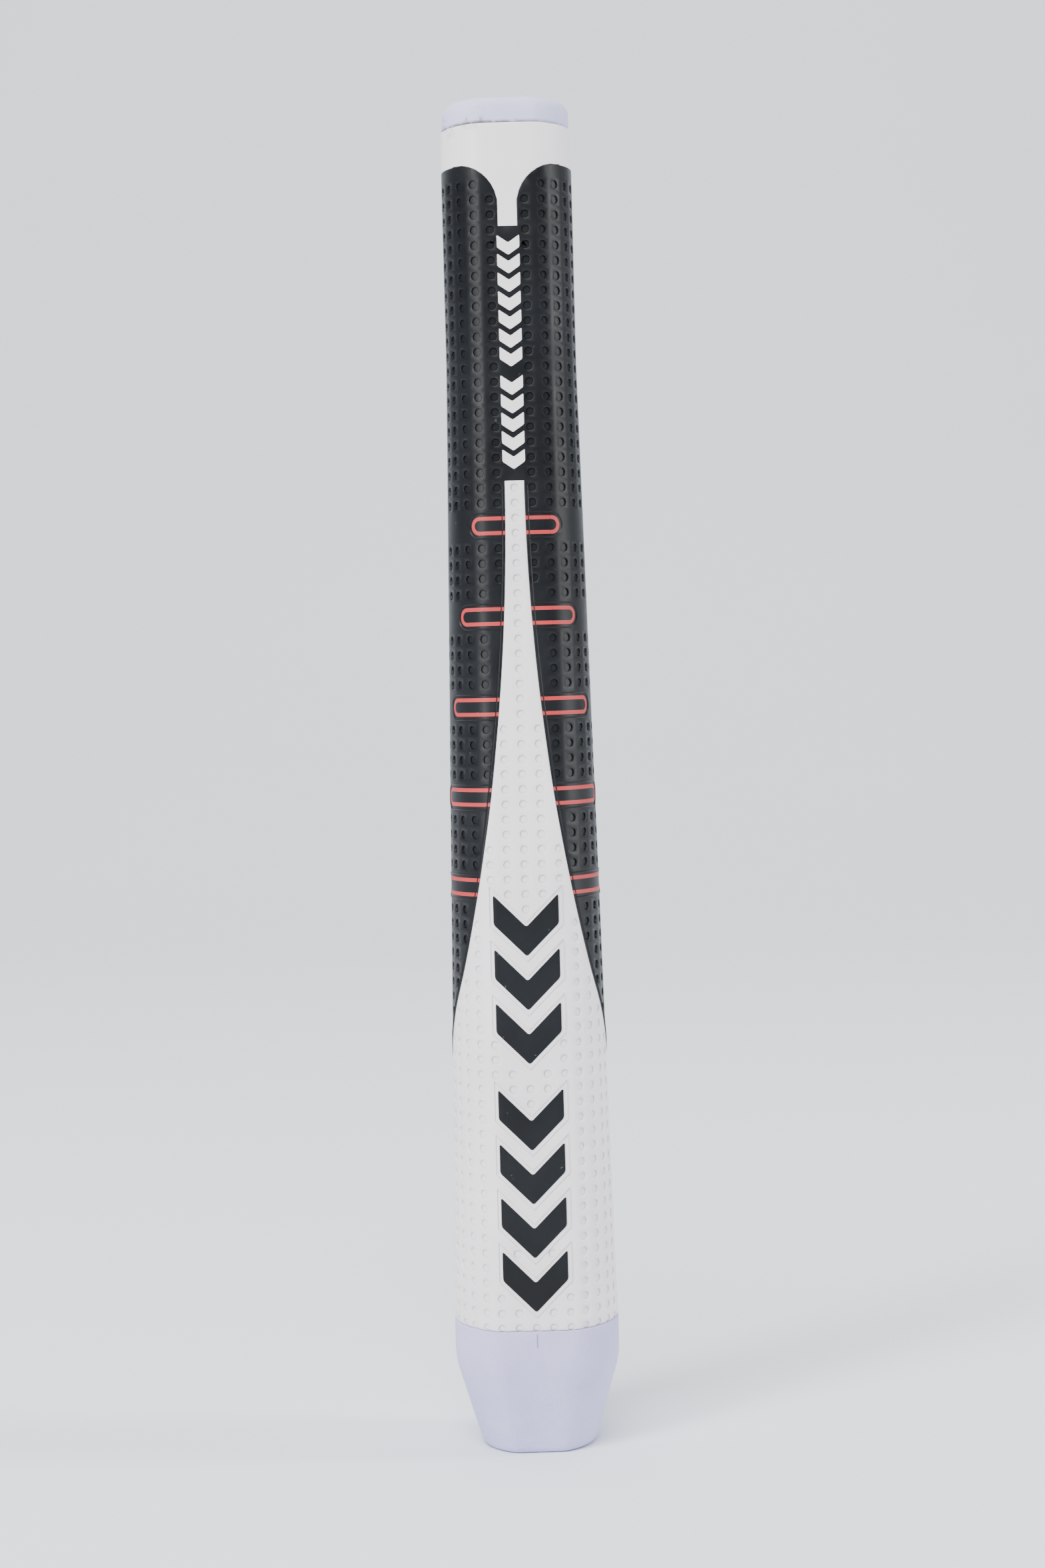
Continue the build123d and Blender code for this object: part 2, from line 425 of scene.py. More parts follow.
def addNick(tree, shader, bump):
    # a short upright mould mark in the middle of the front
    left = bandMask(tree, "X", -foam["nickWidth"], 0)
    right = bandMask(tree, "X", foam["nickWidth"], 0)
    tall = multiply(
        tree, bandMask(tree, "Z", foam["nickLow"], foam["nickLow"] + 0.6),
        bandMask(tree, "Z", foam["nickHigh"], foam["nickHigh"] - 0.3), bandMask(tree, "Y", -5, -6),
    )
    mark = multiply(tree, left, right, tall)
    raised = bumpNode(tree, mark, 1.0, 0.0003, bump)
    tree.links.new(raised.outputs["Normal"], shader.inputs["Normal"])
    stain(tree, shader, multiply(tree, mark, 0.25), (0.4, 0.38, 0.5))


blackRubber, tree, shader = rubberMaterial(
    "blackRubber", rubber["blackDark"], rubber["blackLight"], rubber["blackRough"], 0.25,
)
# painted shade: near black at the foot of each dimple's wall
addRecessShade(tree, shader, 0.9, (0.001, 0.001, 0.0015))
addDust(tree, shader)
whiteRubber, tree, shader = rubberMaterial(
    "whiteRubber", rubber["whiteDark"], rubber["whiteLight"], rubber["whiteRough"], 0.5,
)
# painted shade: grey at the foot of each dimple's wall and of each halo line
addRecessShade(tree, shader, 0.45, (0.42, 0.39, 0.42))
addSmudges(tree, shader)
redRubber, tree, shader = rubberMaterial(
    "redRubber", rubber["redDark"], rubber["redLight"], rubber["redRough"], 0.4,
)
capFoam, tree, shader, bump = foamMaterial("capFoam", foam["capDark"], foam["capLight"])
addSeamDirt(tree, shader)
collarFoam, tree, shader, bump = foamMaterial("collarFoam", foam["collarDark"], foam["collarLight"])
addNick(tree, shader, bump)
print("materials made")

# bars and marks, read from the frame where they can be
bars = {
    "count": 5, "line": 0.75, "proud": 0.05, "crown": 0.04, "sunk": 0.3,
    "firstHalfLength": 9.0, "lengthStep": 3.75, "endSteps": 10, "step": 1.2,
    "wedgeGap": 0.02, "trimReach": 3.0,  # how a ring's ends are trimmed beside the wedge
}
borders = {
    "gap": 0.65, "width": 0.36, "rise": 0.16, "crown": 0.192, "wedgeGap": 0.5,
    "edgeGap": 0.6, "edgeStep": 1.5, "backRoom": 8.0,  # the line that runs beside the wedge
}
barHeights = []
for number in range(1, bars["count"] + 1):
    low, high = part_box(f"alignment_bar_{number}")
    barHeights.append((low.z + high.z) / 2 / mm)
barThick = (high.z - low.z) / mm

upperMarks = {
    "groups": (5, 7), "width": 4.4, "thick": 2.4, "rise": 1.5, "pitch": 3.6, "groupGap": 1.9,
    "low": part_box("upper_marks")[0].z / mm, "proud": 0.06, "sunk": 0.3, "soften": 0.25,
}
frontMarks = {
    "groups": (4, 3), "width": 12.8, "thick": 5.8, "rise": 6.4, "pitch": 10.6, "groupGap": 6.4,
    "low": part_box("front_marks")[0].z / mm, "proud": 0.06, "sunk": 0.3, "soften": 0.5,
    "haloGap": 0.7, "haloWidth": 0.5, "haloRise": 0.2,
}


def markHeights(marks):
    heights = []
    height = marks["low"]
    for count in marks["groups"]:
        heights += [height + marks["pitch"] * step for step in range(count)]
        height += marks["pitch"] * count + marks["groupGap"]
    return heights


def nearMarks(marks, u, z, room):
    # true if a point is on a chevron or within room of one
    half = marks["width"] / 2
    if abs(u) > half + room:
        return False
    slope = marks["rise"] / half
    spare = room * math.hypot(1, slope)
    for height in markHeights(marks):
        low = height + slope * min(abs(u), half)
        if low - spare < z < low + marks["thick"] + spare:
            return True
    return False


# the rubber starts as one flat sheet of cells, a dimple to a cell
dimple = {
    "radius": 0.93, "acrossPitch": 3.4, "upPitch": 2.94, "depth": 0.30, "clear": 0.05,
    "shoulder": 0.1, "shoulderDrop": 0.05, "wallLean": 0.06, "floorRing": 0.2,
}
skin = {
    "wall": 1.45, "backStrip": 2.4, "groove": 0.1, "topRow": 22, "flareSteps": 9,
    "lip": 0.8, "lipDrop": 0.8, "merge": 0.03, "weld": 0.45,
}


def rowHeight(row):
    return barHeights[0] + dimple["upPitch"] * row  # rows count from the first bar's middle


firstRow = math.floor((levels["collar"] - barHeights[0]) / dimple["upPitch"])
lastRow = math.ceil((levels["capSeam"] - barHeights[0]) / dimple["upPitch"])


def tongueKnots():
    foot = levels["shoulder"] - zones["flareRise"]
    knots = [(zones["tongueHalf"], levels["tongueEnd"]), (zones["tongueHalf"], foot)]
    for step in range(1, skin["flareSteps"] + 1):
        z = foot + zones["flareRise"] * math.sin(math.pi / 2 * step / skin["flareSteps"])
        knots.append((bandEdge(z), z))
    return knots


def wedgeKnots():
    # the wedge's edge, a straight cut to a row
    heights = [levels["wedgeTip"]]
    row = math.floor((levels["wedgeTip"] - barHeights[0]) / dimple["upPitch"])
    while wedgeEdge(rowHeight(row)) < halfGirth(radiusAt(rowHeight(row))):
        heights.append(rowHeight(row))
        row -= 1
    tail = slopeHeight(radiusAt(rowHeight(row)))
    heights += [tail + (heights[-1] - tail) * share for share in (0.6, 0.25)] + [tail]
    return [(wedgeEdge(z), z) for z in heights]


def weldKnots(bm, knots):
    # corners of the sheet that lie close to a knot are drawn onto it
    targets = {}
    for vert in bm.verts:
        best = min(knots, key=lambda knot: (knot[0] - vert.co.x) ** 2 + (knot[1] - vert.co.y) ** 2)
        if math.hypot(best[0] - vert.co.x, best[1] - vert.co.y) < skin["weld"]:
            targets.setdefault(best, []).append(vert)
    merged = {}
    for knot, verts in targets.items():
        verts[0].co = (*knot, 0)
        for vert in verts[1:]:
            merged[vert] = verts[0]
    bmesh.ops.weld_verts(bm, targetmap=merged)


def rubberSheet():
    columns = 2 * math.ceil(halfGirth(bottomRadius) / dimple["acrossPitch"]) + 1
    rows = lastRow - firstRow
    bm = bmesh.new()
    bmesh.ops.create_grid(bm, x_segments=columns, y_segments=rows, size=0.5)
    bmesh.ops.scale(bm, verts=bm.verts, vec=(columns * dimple["acrossPitch"], rows * dimple["upPitch"], 1))
    bmesh.ops.translate(bm, verts=bm.verts, vec=(0, (rowHeight(lastRow) + rowHeight(firstRow)) / 2, 0))
    # its sides follow the girth
    heights = [rowHeight(firstRow), levels["collar"], section["taperEnd"], rowHeight(lastRow)]
    for low, high in zip(heights, heights[1:]):
        for side in (-1, 1):
            cutLine(bm, (side * halfGirth(radiusAt(low)), low), (side * halfGirth(radiusAt(high)), high))
    tongue, wedge = tongueKnots(), wedgeKnots()
    for knots in (tongue, wedge):
        for start, end in zip(knots, knots[1:]):
            for side in (-1, 1):
                cutLine(bm, (side * start[0], start[1]), (side * end[0], end[1]), 0.02)
    for z in (levels["tongueEnd"], levels["wedgeTip"]):
        cutLevel(bm, z, -zones["tongueHalf"], zones["tongueHalf"])
    for side in (-1, 1):
        ends = sorted((side * zones["flareReach"], side * 1000))
        cutLevel(bm, levels["shoulder"], *ends)
    weldKnots(bm, [(side * u, z) for u, z in tongue + wedge for side in (-1, 1)])
    bmesh.ops.remove_doubles(bm, verts=bm.verts, dist=skin["merge"])
    return bm


def inSheet(u, z):
    return abs(u) < halfGirth(radiusAt(z))


def zoneSheet(sheet, zone):
    bm = sheet.copy()
    spare = []
    for face in bm.faces:
        middle = face.calc_center_median()
        if not inSheet(middle.x, middle.y) or zoneOf(middle.x, middle.y) != zone:
            spare.append(face)
    bmesh.ops.delete(bm, geom=spare, context="FACES")
    return bm


def dimpleAt(face, zone):
    # the centre of the face's dimple, or None where it has none
    middle = face.calc_center_median()
    u = dimple["acrossPitch"] * round(middle.x / dimple["acrossPitch"])
    row = math.floor((middle.y - barHeights[0]) / dimple["upPitch"])
    z = rowHeight(row + 0.5)
    room = dimple["radius"] + dimple["clear"]
    if zone == "band" or row > skin["topRow"] or abs(u) > halfGirth(radiusAt(z)) - skin["backStrip"]:
        return None
    if zone == "black":
        if any(abs(z - height) < dimple["upPitch"] for height in barHeights):
            return None
        if levels["wedgeTip"] - 0.5 < z < levels["tongueEnd"] + 0.5 and abs(u) < 1:
            return None
    if zone == "front" and nearMarks(frontMarks, u, z, room + frontMarks["haloGap"]):
        return None
    if not bmesh.geometry.intersect_face_point(face, (u, z, 0)):
        return None
    for edge in face.edges:
        start, end = edge.verts[0].co, edge.verts[1].co
        run = end - start
        share = max(0, min(1, (Vector((u, z, 0)) - start).dot(run) / run.length_squared))
        if (start + run * share - Vector((u, z, 0))).length < room:
            return None
    return Vector((u, z, 0))


def sinkDimples(bm, zone):
    centres = {}
    for face in bm.faces:
        if face.normal.z > 0.999:
            centre = dimpleAt(face, zone)
            if centre is not None:
                centres[face] = centre
    # plain cells are halved, so that they follow the curve
    plain = [face for face in bm.faces if face.normal.z > 0.5 and face not in centres]
    wide = {}
    for face in plain:
        column = round(face.calc_center_median().x / dimple["acrossPitch"])
        wide.setdefault(column, []).append(face)
    for column, faces in wide.items():
        edges = list({edge for face in faces for edge in face.edges})
        verts = list({vert for face in faces for vert in face.verts})
        geom = verts + edges + faces
        place = (column * dimple["acrossPitch"], 0, 0)
        bmesh.ops.bisect_plane(bm, geom=geom, dist=1e-4, plane_co=place, plane_no=(1, 0, 0))
    level = [edge for edge in bm.edges if abs(edge.verts[0].co.x - edge.verts[1].co.x) > 2.5]
    bmesh.ops.bisect_edges(bm, edges=level, cuts=1)
    holes = list(centres)
    bmesh.ops.inset_individual(bm, faces=holes, thickness=0.35, use_even_offset=True)
    rims = list({edge for face in holes for edge in face.edges})
    bmesh.ops.bisect_edges(bm, edges=rims, cuts=1)
    for face in holes:
        for vert in face.verts:
            reach = vert.co - centres[face]
            vert.co = centres[face] + reach.normalized() * dimple["radius"]
    bmesh.ops.inset_individual(bm, faces=holes, thickness=dimple["shoulder"], depth=-dimple["shoulderDrop"])
    wallDrop = dimple["depth"] - dimple["shoulderDrop"]
    bmesh.ops.inset_individual(bm, faces=holes, thickness=dimple["wallLean"], depth=-wallDrop)
    # the ring at the foot of each wall is marked for painted shade; the floor inside it is not
    recessShade = bm.verts.layers.float.get("recessShade")
    for face in holes:
        for vert in face.verts:
            vert[recessShade] = 1
    bmesh.ops.inset_individual(bm, faces=holes, thickness=dimple["floorRing"])
    for face in holes:
        for vert in face.verts:
            vert[recessShade] = 0
    print(zone, len(holes), "dimples")


def grooveEdges(bm):
    # the top edges where one zone meets the next
    found = []
    for edge in bm.edges:
        ends = [vert.co for vert in edge.verts]
        if abs(ends[0].z) > 1e-6 or abs(ends[1].z) > 1e-6 or len(edge.link_faces) != 2:
            continue
        if min(abs(face.normal.z) for face in edge.link_faces) > 0.5:
            continue
        atBack = all(abs(abs(end.x) - halfGirth(radiusAt(end.y))) < 0.02 for end in ends)
        atEnd = all(end.y > levels["capSeam"] or end.y < levels["collar"] for end in ends)
        if not atBack and not atEnd:
            found.append(edge)
    return found


def openBack(bm):
    # the walls along the back's middle line go, so that the two sides close up
    walls = []
    for face in bm.faces:
        if abs(face.normal.z) < 0.5:
            if all(abs(abs(vert.co.x) - halfGirth(radiusAt(vert.co.y))) < 0.02 for vert in face.verts):
                walls.append(face)
    bmesh.ops.delete(bm, geom=walls, context="FACES")


def roundEnds(z, out):
    # the skin's two ends are rounded over
    if out < -skin["wall"] / 2:
        return out
    lip = skin["lip"] if z < (levels["collar"] + levels["capSeam"]) / 2 else skin["lip"] / 2
    near = min(z - levels["collar"], levels["capSeam"] - z)
    if near >= lip:
        return out
    return out - (lip - math.sqrt(max(lip**2 - (lip - max(near, 0)) ** 2, 0.0))) * skin["lipDrop"]


def trimEnd(bm, z, side):
    # cuts the closed slab off level, caps the cut, and adds loops for the rounding
    lip = skin["lip"] if side < 0 else skin["lip"] / 2
    for share in (1.0, 0.6, 0.3, 0.1):
        geom = bm.verts[:] + bm.edges[:] + bm.faces[:]
        place = (0, z - side * lip * share, 0)
        bmesh.ops.bisect_plane(bm, geom=geom, dist=1e-5, plane_co=place, plane_no=(0, 1, 0))
    geom = bm.verts[:] + bm.edges[:] + bm.faces[:]
    cut = bmesh.ops.bisect_plane(
        bm, geom=geom, dist=1e-5, plane_co=(0, z, 0), plane_no=(0, side, 0), clear_outer=True,
    )
    rim = [item for item in cut["geom_cut"] if isinstance(item, bmesh.types.BMEdge)]
    rim = [edge for edge in rim if len(edge.link_faces) == 1]
    cap = bmesh.ops.contextual_create(bm, geom=rim)["faces"]
    bmesh.ops.triangulate(bm, faces=cap)


def makeZone(sheet, zone, name, material, replaced):
    bm = zoneSheet(sheet, zone)
    bm.verts.layers.float.new("recessShade")
    thicken(bm, skin["wall"])
    groove = grooveEdges(bm)
    bmesh.ops.bevel(
        bm, geom=groove, offset=skin["groove"], segments=2, profile=0.5, affect="EDGES", material=-1,
        clamp_overlap=False,
    )
    sinkDimples(bm, zone)
    if zone == "front":
        trimEnd(bm, levels["collar"], -1)
    if zone == "band":
        trimEnd(bm, levels["capSeam"], 1)
    openBack(bm)
    wrapMesh(bm, roundEnds)
    bmesh.ops.remove_doubles(bm, verts=bm.verts, dist=1e-5)
    finishPiece(name, bm, material, replaced)


sheet = rubberSheet()
makeZone(sheet, "black", "blackPanel", blackRubber, ["black_panel"])
makeZone(sheet, "front", "frontPanel", whiteRubber, ["front_panel"])
makeZone(sheet, "band", "topBand", whiteRubber, ["top_band"])
sheet.free()
print("rubber zones made")


def ringPath(halfLength, radius):
    # half a racetrack: out along the top, round the end and back along the bottom
    centre = halfLength - barThick / 2
    count = math.ceil(centre / bars["step"])
    path = [(centre * step / count, radius, 0, 1) for step in range(count + 1)]
    for step in range(1, bars["endSteps"]):
        turn = math.pi * step / bars["endSteps"]
        outU, outZ = math.sin(turn), math.cos(turn)
        path.append((centre + radius * outU, radius * outZ, outU, outZ))
    path += [(centre * step / count, -radius, 0, -1) for step in range(count, -1, -1)]
    return path


def ribbon(bm, path, width, rise, crown):
    # a raised line: an edge across it is extruded from point to point of the path
    shape = [(at, rise - crown * abs(at) * 2) for at in (-0.5, 0, 0.5)]
    edges = []
    for u, z, outU, outZ in path:
        spots = [(u + outU * width * at, z + outZ * width * at, out) for at, out in shape]
        if not edges:
            verts = [bm.verts.new(spot) for spot in spots]
            edges = [bm.edges.new(pair) for pair in zip(verts, verts[1:])]
            continue
        edges, fresh = extrudeChain(bm, edges)
        verts = sorted(fresh, key=lambda vert: (vert.co - verts[0].co).length)
        for vert, spot in zip(verts, spots):
            vert.co = spot


def sinkRibbon(bm, depth):
    # closes a raised line into a solid that reaches below the surface
    copied = bmesh.ops.extrude_face_region(bm, geom=bm.faces[:], use_keep_orig=True)["geom"]
    for item in copied:
        if isinstance(item, bmesh.types.BMVert):
            item.co.z = -depth
    bmesh.ops.recalc_face_normals(bm, faces=bm.faces)


def trimToWedge(bm, height, gap):
    # cuts a ring's open ends off beside the wedge's edge
    low, high = height - bars["trimReach"], height + bars["trimReach"]
    start = (wedgeEdge(low) + gap, low, 0)
    across = Vector((high - low, wedgeEdge(low) - wedgeEdge(high), 0))
    geom = bm.verts[:] + bm.edges[:] + bm.faces[:]
    bmesh.ops.bisect_plane(bm, geom=geom, dist=1e-4, plane_co=start, plane_no=across, clear_inner=True)


def barPiece(number, height):
    bm = bmesh.new()
    halfLength = bars["firstHalfLength"] + bars["lengthStep"] * number
    radius = (barThick - bars["line"]) / 2
    path = [(u, height + z, outU, outZ) for u, z, outU, outZ in ringPath(halfLength, radius)]
    ribbon(bm, path, bars["line"], bars["proud"], bars["crown"])
    trimToWedge(bm, height, bars["wedgeGap"])
    sinkRibbon(bm, bars["sunk"])
    mirrorAcross(bm)
    wrapMesh(bm)
    finishPiece(f"alignmentBar{number + 1}", bm, redRubber, [f"alignment_bar_{number + 1}"])


def mirrorAcross(bm):
    twin = bmesh.ops.duplicate(bm, geom=bm.verts[:] + bm.edges[:] + bm.faces[:])["geom"]
    verts = [item for item in twin if isinstance(item, bmesh.types.BMVert)]
    bmesh.ops.scale(bm, verts=verts, vec=(-1, 1, 1))


def addBorder(bm, path, height=None):
    # makes one line apart, trims it beside the wedge if it rings a bar, and adds it
    one = bmesh.new()
    ribbon(one, path, borders["width"], borders["rise"], borders["crown"])
    if height is not None:
        trimToWedge(one, height, borders["wedgeGap"])
    sinkRibbon(one, bars["sunk"])
    holder = bpy.data.meshes.new("holder")
    one.to_mesh(holder)
    one.free()
    bm.from_mesh(holder)
    bpy.data.meshes.remove(holder)


def borderPiece():
    # fine raised lines round each bar's field, and beside the wedge
    bm = bmesh.new()
    for number, height in enumerate(barHeights):
        halfLength = bars["firstHalfLength"] + bars["lengthStep"] * number
        radius = barThick / 2 + borders["gap"]
        path = [(u, height + z, outU, outZ) for u, z, outU, outZ in ringPath(halfLength, radius)]
        addBorder(bm, path, height)
    edgePath = []
    z = levels["wedgeTip"] - 1
    while wedgeEdge(z) < halfGirth(radiusAt(z)) - borders["backRoom"]:
        lean = wedgeEdge(z - 0.5) - wedgeEdge(z + 0.5)
        outU, outZ = 1 / math.hypot(1, lean), lean / math.hypot(1, lean)
        u = wedgeEdge(z) + borders["edgeGap"] * outU
        edgePath.append((u, z + borders["edgeGap"] * outZ, outU, outZ))
        z -= borders["edgeStep"]
    addBorder(bm, edgePath)
    mirrorAcross(bm)
    wrapMesh(bm)
    finishPiece("barBorders", bm, blackRubber, [])


for number, height in enumerate(barHeights):
    barPiece(number, height)
borderPiece()


def chevronFace(bm, marks, height, grow):
    half = marks["width"] / 2 + grow
    slope = marks["rise"] / (marks["width"] / 2)
    spare = grow * math.hypot(1, slope)
    low, high = height - spare, height + marks["thick"] + spare
    corners = [(0, low), (half, low + slope * half), (half, high + slope * half), (0, high)]
    corners += [(-half, high + slope * half), (-half, low + slope * half)]
    return bm.faces.new([bm.verts.new((u, z, 0)) for u, z in corners])


def sliceAcross(bm, width):
    # level cuts keep a wide plate on the curve
    count = math.ceil(width)
    for step in range(-count, count + 1):
        geom = bm.verts[:] + bm.edges[:] + bm.faces[:]
        place = (step * width / 2 / count, 0, 0)
        bmesh.ops.bisect_plane(bm, geom=geom, dist=1e-4, plane_co=place, plane_no=(1, 0, 0))


def marksPiece(name, marks, material, replaced):
    bm = bmesh.new()
    for height in markHeights(marks):
        face = chevronFace(bm, marks, height, 0)
        bmesh.ops.bevel(
            bm, geom=face.verts[:], offset=marks["soften"], segments=4, profile=0.5,
            affect="VERTICES", material=-1,
        )
    sliceAcross(bm, marks["width"])
    thicken(bm, marks["proud"] + marks["sunk"])
    bmesh.ops.translate(bm, verts=bm.verts, vec=(0, 0, marks["proud"]))
    wrapMesh(bm)
    finishPiece(name, bm, material, replaced)


def haloPiece():
    # thin raised lines round the front marks, with painted shade at their feet
    bm = bmesh.new()
    for height in markHeights(frontMarks):
        face = chevronFace(bm, frontMarks, height, frontMarks["haloGap"])
        width = frontMarks["haloWidth"]
        rim = bmesh.ops.inset_region(
            bm, faces=[face], thickness=width, use_even_offset=True, use_boundary=True,
        )["faces"]
        bmesh.ops.delete(bm, geom=[face], context="FACES")
        bmesh.ops.inset_region(
            bm, faces=rim, thickness=width * 0.4, use_even_offset=True, use_boundary=True,
        )
        for vert in {vert for face in rim for vert in face.verts}:
            vert.co.z = frontMarks["haloRise"]
    # the lines' low feet are marked for painted shade
    recessShade = bm.verts.layers.float.new("recessShade")
    for vert in bm.verts:
        vert[recessShade] = vert.co.z < frontMarks["haloRise"] / 2
    sliceAcross(bm, frontMarks["width"] + 1)
    thicken(bm, frontMarks["sunk"])
    wrapMesh(bm)
    finishPiece("markHalos", bm, whiteRubber, [])


marksPiece("upperMarks", upperMarks, whiteRubber, ["upper_marks"])
marksPiece("frontMarks", frontMarks, blackRubber, ["front_marks"])
haloPiece()
print("bars and marks made")

core = {
    "boreRadius": 7.62, "boreEdge": 0.35, "spigotRadius": 9.0, "glueGap": 0.1, "wall": 1.5, "proud": 0.1,
    "mouthRadius": 11.4, "mouthEdge": 1.9, "mouthCentre": 9.85, "mouthSteps": 7,
    "shoulder": levels["collar"] - 8.0, "shoulderEase": 2.2, "shoulderSteps": 10,
    "lip": ((0.5, 0.0), (0.15, 0.03), (0.0, 0.25)),  # below the collar's end, and in from its side
    "segments": 120,
}


def placeRing(verts, z, radius, out=None):
    # a ring of the grip's outline, or a round one where out is None
    count = len(verts)
    for index, vert in enumerate(verts):
        share = (index / count) * 2 - 1
        if out is None:
            spot = wrap(share * halfGirth(1), 0, 0, 1)
            angle = math.atan2(spot.x, -spot.y)
            vert.co = Vector((radius * math.sin(angle), -radius * math.cos(angle), z)) * mm
        else:
            vert.co = wrap(share * halfGirth(radius), z, out, radius)


def ringLoft(bm, stations, segments):
    # a first ring is extruded from station to station, and the last is joined to the first
    verts = bmesh.ops.create_circle(bm, segments=segments, radius=1)["verts"]
    placeRing(verts, *stations[0])
    edges = bm.edges[:]
    for station in stations[1:]:
        edges, made = extrudeChain(bm, edges)
        fresh = set(made)
        twins = {}
        for vert in verts:
            for edge in vert.link_edges:
                if edge.other_vert(vert) in fresh:
                    twins[vert] = edge.other_vert(vert)
        verts = [twins[vert] for vert in verts]
        placeRing(verts, *station)
    ends = [edge for edge in bm.edges if len(edge.link_faces) == 1]
    bmesh.ops.bridge_loops(bm, edges=ends)


def arcStations(centreZ, centreR, size, fromAngle, toAngle, steps):
    # stations of a rounded edge: radius and height go round a small arc
    found = []
    for step in range(steps + 1):
        angle = math.radians(fromAngle + (toAngle - fromAngle) * step / steps)
        found.append((centreZ + size * math.sin(angle), centreR + size * math.cos(angle), 0))
    return found


def shoulderStations(foot, collarRadius):
    # a straight cone, eased into the collar
    found = []
    ease = core["shoulderEase"]
    slope = (collarRadius - foot[1]) / (core["shoulder"] - foot[0])
    for step in range(1, core["shoulderSteps"] + 1):
        z = foot[0] + (core["shoulder"] + ease - foot[0]) * step / core["shoulderSteps"]
        over = max(z - (core["shoulder"] - ease), 0)
        found.append((z, foot[1] + slope * (z - foot[0]) - slope * over**2 / (4 * ease), 0))
    return found


def makeCore():
    bm = bmesh.new()
    boreTop = levels["spigot"] - core["glueGap"]
    boreRadius, boreEdge = core["boreRadius"], core["boreEdge"]
    collarRadius = bottomRadius + core["proud"]
    stations = [(boreTop * share, boreRadius, None) for share in (1.0, 0.75, 0.5, 0.25)]
    stations += [(boreEdge, boreRadius, None), (0, boreRadius + boreEdge, None)]
    lean = math.degrees(math.atan2(collarRadius - core["mouthRadius"], core["shoulder"]))
    mouthEdge = core["mouthEdge"]
    stations += arcStations(mouthEdge, core["mouthCentre"], mouthEdge, -90, -lean, core["mouthSteps"])
    stations += shoulderStations(stations[-1], collarRadius)
    stations += [(levels["collar"] - below, collarRadius - inward, 0) for below, inward in core["lip"]]
    stations.append((levels["collar"] + 0.001, bottomRadius, -core["wall"]))
    stations.append((section["taperEnd"], topRadius, -core["wall"]))
    stations.append((levels["capSeam"], topRadius, -core["wall"]))
    stations.append((levels["capSeam"], core["spigotRadius"] + core["glueGap"], None))
    stations.append((boreTop, core["spigotRadius"] + core["glueGap"], None))
    ringLoft(bm, stations, core["segments"])
    finishPiece("foamCore", bm, collarFoam, ["foam_core"])


cap = {
    "stepIn": 0.35, "footEdge": 0.35, "footRise": 0.14, "footIn": 0.08, "edge": 2.4, "edgeSteps": 8,
    "ventRadius": 1.25, "ventEdge": 0.15, "topInset": 3.6, "topRing": 5.0, "segments": 120,
}


def makeCap():
    bm = bmesh.new()
    low, high = levels["capSeam"], levels["butt"]
    stations = [(high, cap["ventRadius"], None), (levels["spigot"], cap["ventRadius"], None)]
    stations += [(levels["spigot"], core["spigotRadius"], None), (low, core["spigotRadius"], None)]
    stations.append((low, topRadius, -cap["stepIn"] - cap["footEdge"]))
    stations.append((low + cap["footRise"], topRadius, -cap["stepIn"] - cap["footIn"]))
    stations.append((low + cap["footEdge"], topRadius, -cap["stepIn"]))
    for step in range(cap["edgeSteps"] + 1):
        angle = math.pi / 2 * step / cap["edgeSteps"]
        rise = cap["edge"] * (1 - math.sin(angle))
        inward = cap["edge"] * (1 - math.cos(angle))
        stations.append((high - rise, topRadius, -cap["stepIn"] - inward))
    stations.append((high, topRadius, -cap["topInset"]))
    stations += [(high, cap["topRing"], None), (high, cap["ventRadius"] + cap["ventEdge"], None)]
    ringLoft(bm, stations, cap["segments"])
    finishPiece("buttCap", bm, capFoam, ["butt_cap"])


makeCore()
makeCap()
print("foam made")

# pale floor that curves up into a backdrop
studio = {
    "front": -2.5, "back": 2.2, "half": 4.0, "height": 3.0, "curve": 1.2, "curveSteps": 12,
    "colour": (0.79, 0.83, 0.88),
}


def makeFloor():
    bm = bmesh.new()
    verts = [bm.verts.new((x, studio["front"], 0)) for x in (-studio["half"], studio["half"])]
    edges = [bm.edges.new(verts)]
    route = [(studio["back"] - studio["curve"], 0)]
    for step in range(1, studio["curveSteps"] + 1):
        turn = math.pi / 2 * step / studio["curveSteps"]
        y = studio["back"] - studio["curve"] * (1 - math.sin(turn))
        route.append((y, studio["curve"] * (1 - math.cos(turn))))
    route.append((studio["back"], studio["height"]))
    for y, z in route:
        edges, fresh = extrudeChain(bm, edges)
        for vert in fresh:
            vert.co.y, vert.co.z = y, z
    material, tree, shader = newMaterial("studioPaper")
    mottle = noiseNode(tree, 3, 2)
    dark = tuple(value * 0.985 for value in studio["colour"])
    colour = rampNode(tree, mottle.outputs["Fac"], [(0.3, dark), (0.7, studio["colour"])])
    tree.links.new(colour.outputs["Color"], shader.inputs["Base Color"])
    shader.inputs["Roughness"].default_value = 0.9
    floor = linkMesh("floor", bm, material)


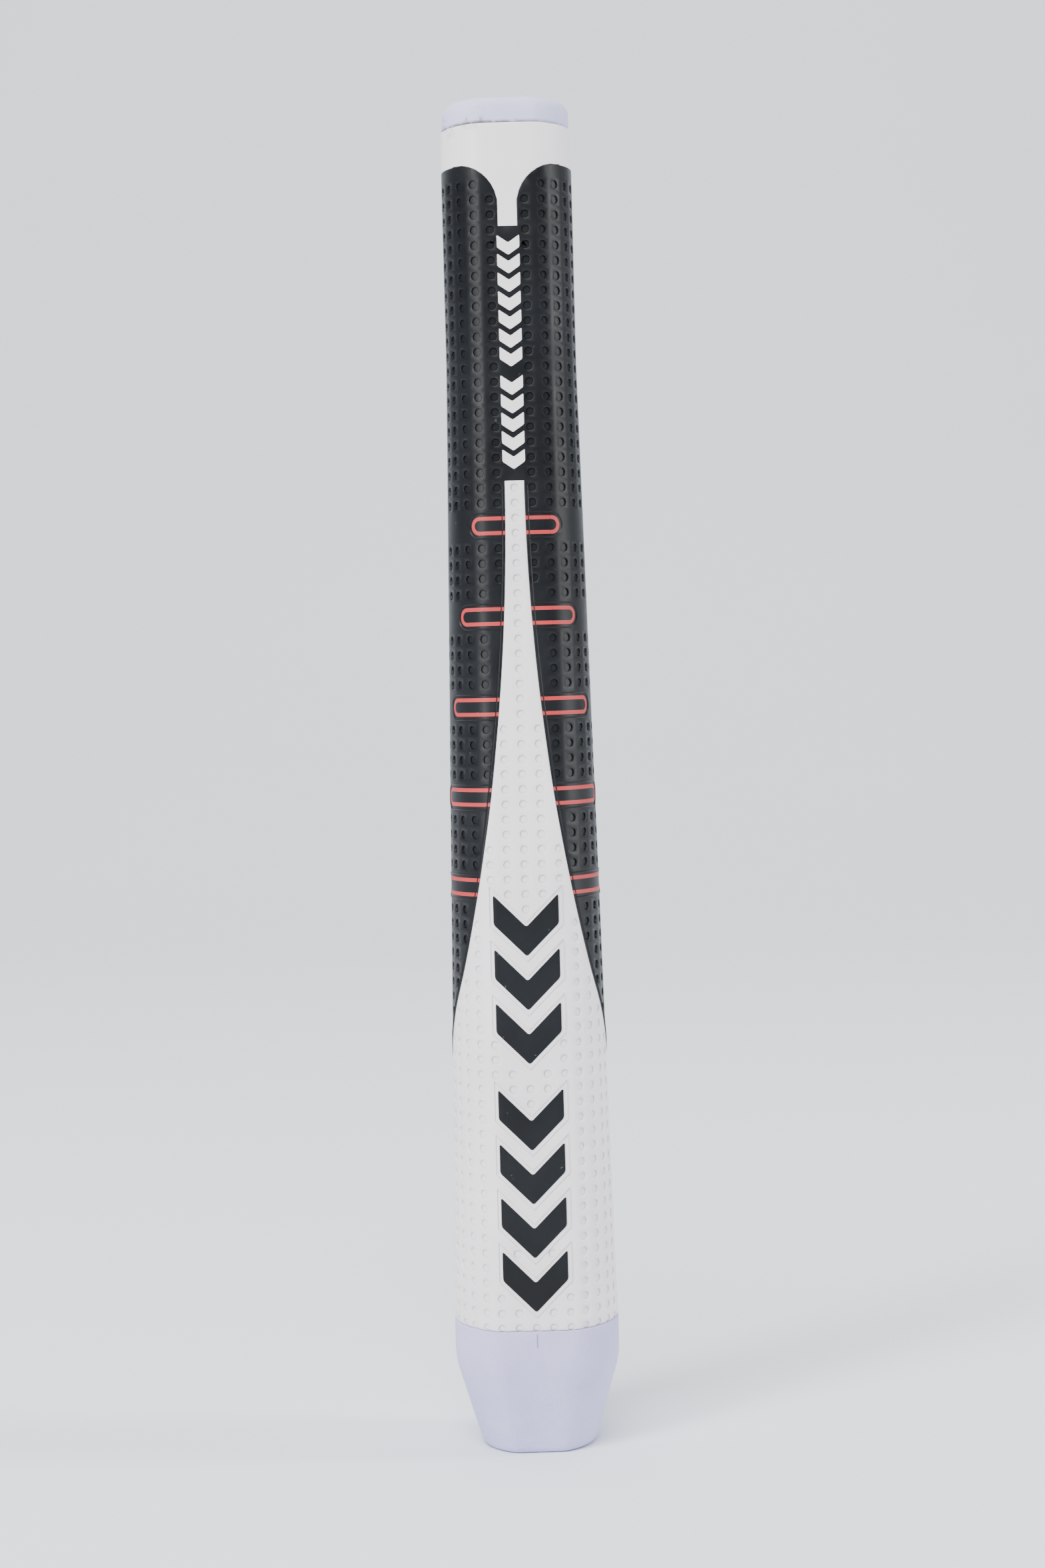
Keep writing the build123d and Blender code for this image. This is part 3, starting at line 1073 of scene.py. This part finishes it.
lights = {
    "left": {"place": (-1.4, -1.4, 0.9), "size": (0.5, 1.8), "power": 44.0},
    "right": {"place": (1.7, -0.15, 0.7), "size": (0.3, 1.8), "power": 30.0},
    "front": {"place": (-0.5, -1.5, 2.3), "size": (1.8, 1.0), "power": 95.0},
    "back": {"place": (0.0, 0.6, 2.6), "size": (3.0, 1.6), "power": 52.0},
    "world": (0.80, 0.84, 0.90),
    "worldPower": 0.22,
    "worldSeen": 0.72,
}


def makeLight(name, place, size, power):
    data = bpy.data.lights.new(name, "AREA")
    data.shape = "RECTANGLE"
    data.size, data.size_y = size
    data.energy = power
    lamp = bpy.data.objects.new(name, data)
    bpy.context.scene.collection.objects.link(lamp)
    lamp.location = place
    aim = Vector((0, 0, 0.13)) - Vector(place)
    lamp.rotation_euler = aim.to_track_quat("-Z", "Y").to_euler()


def makeLights():
    for name in ("left", "right", "front", "back"):
        makeLight(name, **lights[name])
    world = bpy.data.worlds.new("studio")
    world.use_nodes = True
    tree = world.node_tree
    background = tree.nodes["Background"]
    background.inputs["Color"].default_value = (*lights["world"], 1)
    path = tree.nodes.new("ShaderNodeLightPath")
    strength = tree.nodes.new("ShaderNodeMapRange")  # pale where it is seen, dim where it lights
    strength.inputs["To Min"].default_value = lights["worldPower"]
    strength.inputs["To Max"].default_value = lights["worldSeen"]
    tree.links.new(path.outputs["Is Camera Ray"], strength.inputs["Value"])
    tree.links.new(strength.outputs["Result"], background.inputs["Strength"])
    bpy.context.scene.world = world


view = {"distance": 0.560, "eye": 0.156, "lens": 64.4, "pitch": 2.41, "roll": 1.54}


def makeCamera():
    data = bpy.data.cameras.new("camera")
    data.lens = view["lens"]
    data.sensor_width = 36
    camera = bpy.data.objects.new("camera", data)
    bpy.context.scene.collection.objects.link(camera)
    pitch = Matrix.Rotation(math.radians(90 - view["pitch"]), 4, "X")
    roll = Matrix.Rotation(-math.radians(view["roll"]), 4, "Z")
    camera.matrix_world = Matrix.Translation((0, -view["distance"], view["eye"])) @ pitch @ roll
    bpy.context.scene.camera = camera


makeFloor()
makeLights()
makeCamera()
print("studio made")
